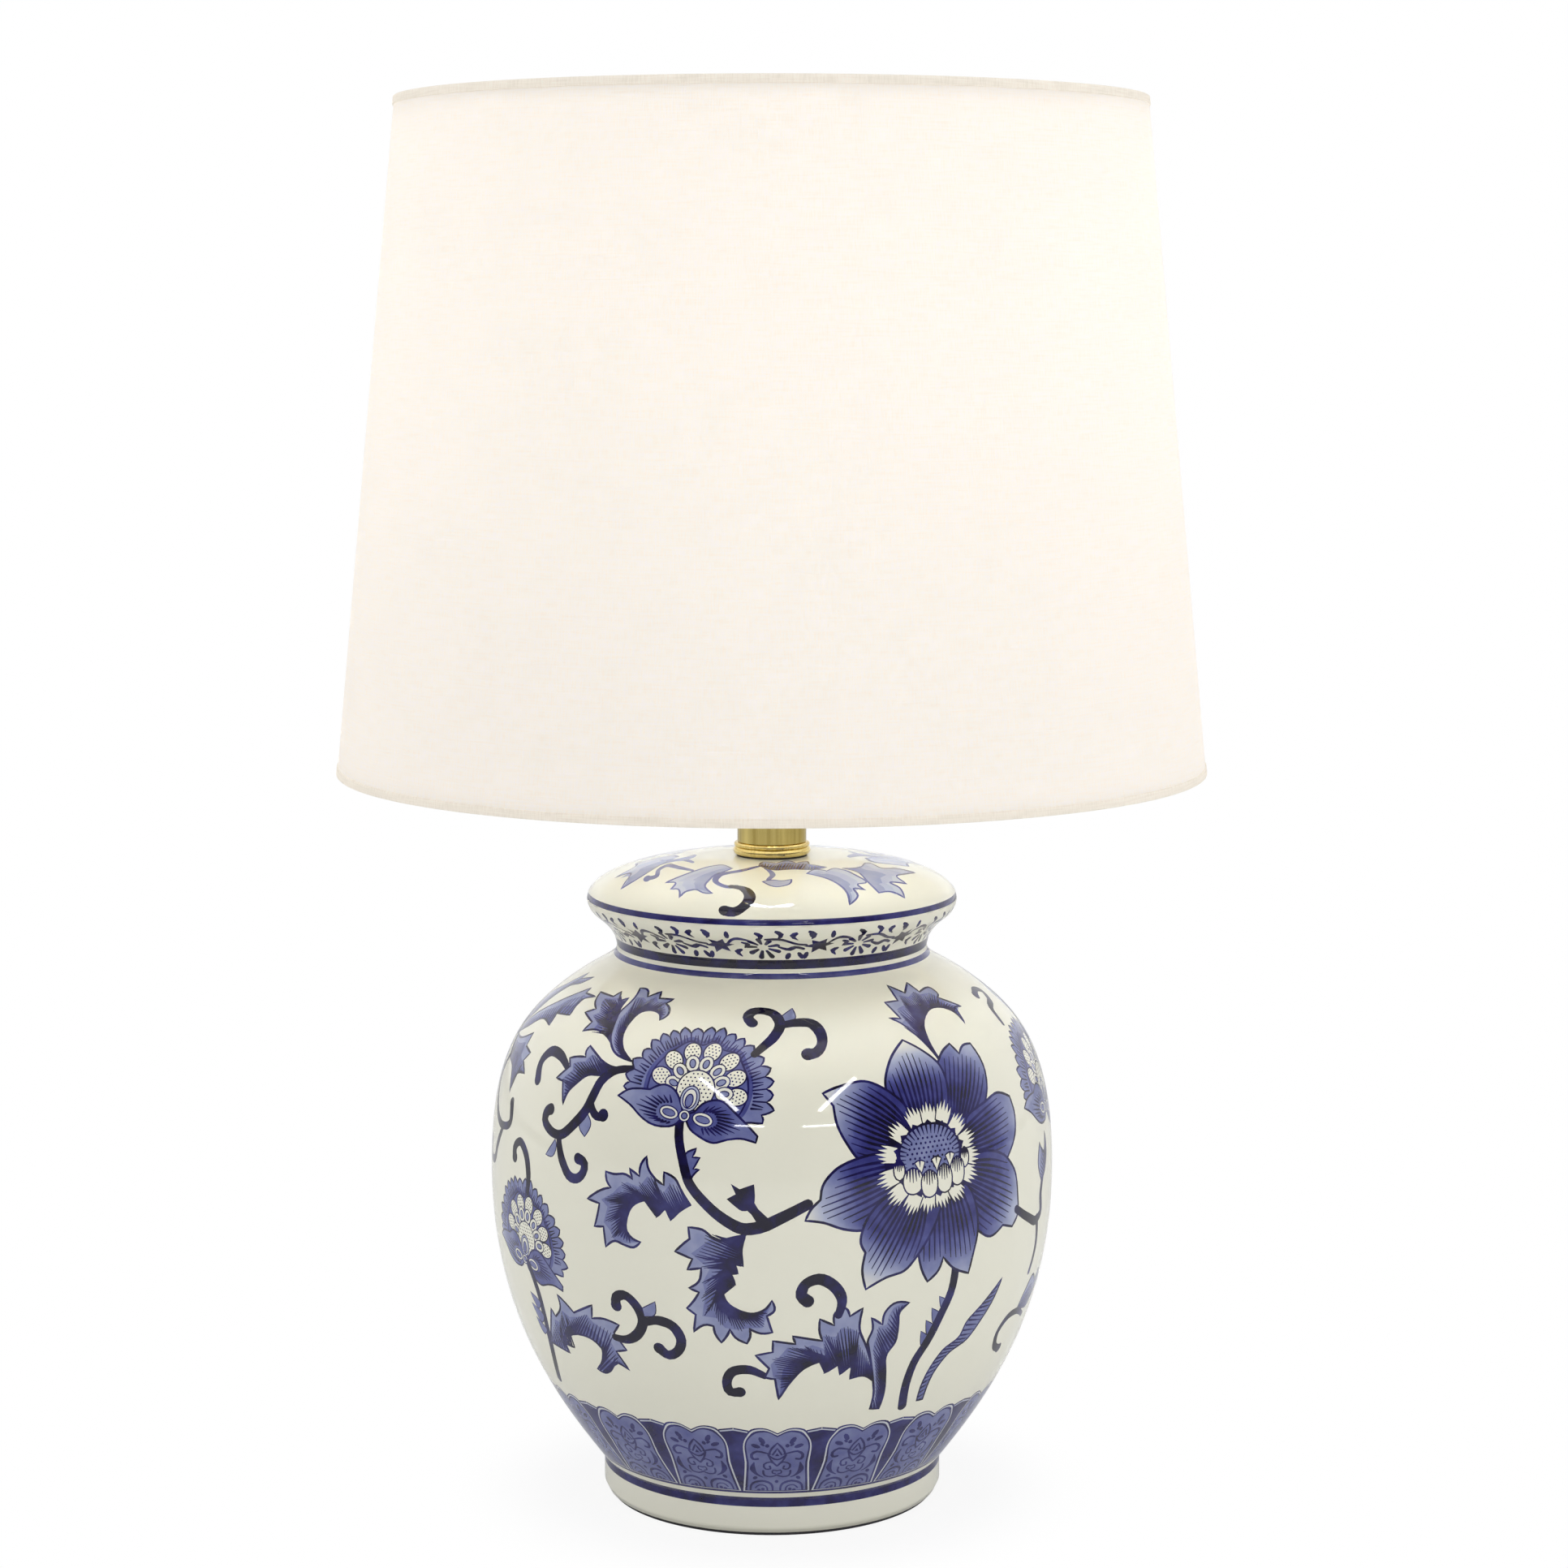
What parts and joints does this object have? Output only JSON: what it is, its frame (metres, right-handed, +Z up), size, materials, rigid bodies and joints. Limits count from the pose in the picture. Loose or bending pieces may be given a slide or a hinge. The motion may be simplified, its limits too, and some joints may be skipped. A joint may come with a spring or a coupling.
{
  "type": "ginger jar table lamp",
  "caption": "Table lamp: covered blue-and-white porcelain ginger jar, brass neck, turn-knob socket, harp and tapered drum shade held by a finial.",
  "frame": {"origin": "middle of the foot, on the surface that the lamp stands on", "axes": "+Z up along the lamp's axis; -Y is the front; +X is to the right seen from the front"},
  "size_m": [0.3556, 0.3556, 0.5743],
  "materials": {
    "porcelain": "clear glaze over blue painting on off-white porcelain",
    "felt": "dark olive felt",
    "bushing_plastic": "moulded",
    "washer_rubber": "matt",
    "zinc_steel": "zinc plated",
    "polished_brass": "polished and lacquered",
    "shade_linen": "slubbed off-white linen",
    "hem_tape": "rolled linen hem",
    "shade_styrene": "white translucent sheet",
    "white_wire": "white powder coat",
    "insulating_paper": "waxed fibre paper",
    "black_phenolic": "moulded",
    "screw_shell_aluminium": "rolled sheet",
    "contact_brass": "sprung sheet",
    "frosted_glass": "frosted inside",
    "black_glass": "black vitrified insulator",
    "solder": "tinned"
  },
  "bodies": {
    "base": {"foot_pad": "felt", "jar_body": "porcelain", "jar_lid": "porcelain", "cord_bushing": "bushing_plastic", "threaded_tube": "zinc_steel", "rubber_washer": "washer_rubber", "plate_washer": "zinc_steel", "lock_washer": "zinc_steel", "clamp_nut": "zinc_steel", "lid_washer": "felt", "neck_ring": "polished_brass", "neck_tube": "polished_brass", "neck_cap": "polished_brass", "harp_saddle": "polished_brass", "socket_cap": "polished_brass", "socket_set_screw": "zinc_steel", "socket_shell": "polished_brass", "socket_paper_sleeve": "insulating_paper", "socket_block": "black_phenolic", "socket_terminal_screws": "zinc_steel", "socket_screw_shell": "screw_shell_aluminium", "socket_contact": "contact_brass"},
    "switch": {"switch_shaft": "zinc_steel", "switch_knob": "black_phenolic"},
    "bulb": {"bulb_glass": "frosted_glass", "bulb_cap": "screw_shell_aluminium", "bulb_insulator": "black_glass", "bulb_tip": "solder"},
    "harp": {"harp_hoop": "polished_brass", "harp_stud": "polished_brass"},
    "sleeve_left": {"harp_sleeve_left": "polished_brass"},
    "sleeve_right": {"harp_sleeve_right": "polished_brass"},
    "shade": {"shade_spider": "white_wire", "shade_bottom_wire": "white_wire", "shade_liner": "shade_styrene", "shade_cloth": "shade_linen", "shade_bottom_hem": "hem_tape", "shade_top_hem": "hem_tape"},
    "finial": {"finial": "polished_brass"}
  },
  "joints": [
    {"name": "switch_turn", "type": "hinge", "parent": "base", "child": "switch", "pos_m": [0, -0.02, 0.3963], "axis": [0, -1, 0], "continuous": true},
    {"name": "bulb_lift", "type": "slide", "parent": "base", "child": "bulb", "axis": [0, 0, 1], "range_m": [0, 0.022]},
    {"name": "harp_lift", "type": "slide", "parent": "base", "child": "harp", "axis": [0, 0, 1], "range_m": [0, 0.015]},
    {"name": "sleeve_left_slide", "type": "slide", "parent": "harp", "child": "sleeve_left", "axis": [0, 0, 1], "range_m": [0, 0.015]},
    {"name": "sleeve_right_slide", "type": "slide", "parent": "harp", "child": "sleeve_right", "axis": [0, 0, 1], "range_m": [0, 0.015]},
    {"name": "shade_swivel", "type": "hinge", "parent": "harp", "child": "shade", "pos_m": [0, 0, 0.5471], "axis": [0, 0, 1], "continuous": true},
    {"name": "finial_lift", "type": "slide", "parent": "harp", "child": "finial", "axis": [0, 0, 1], "range_m": [0, 0.012]}
  ]
}
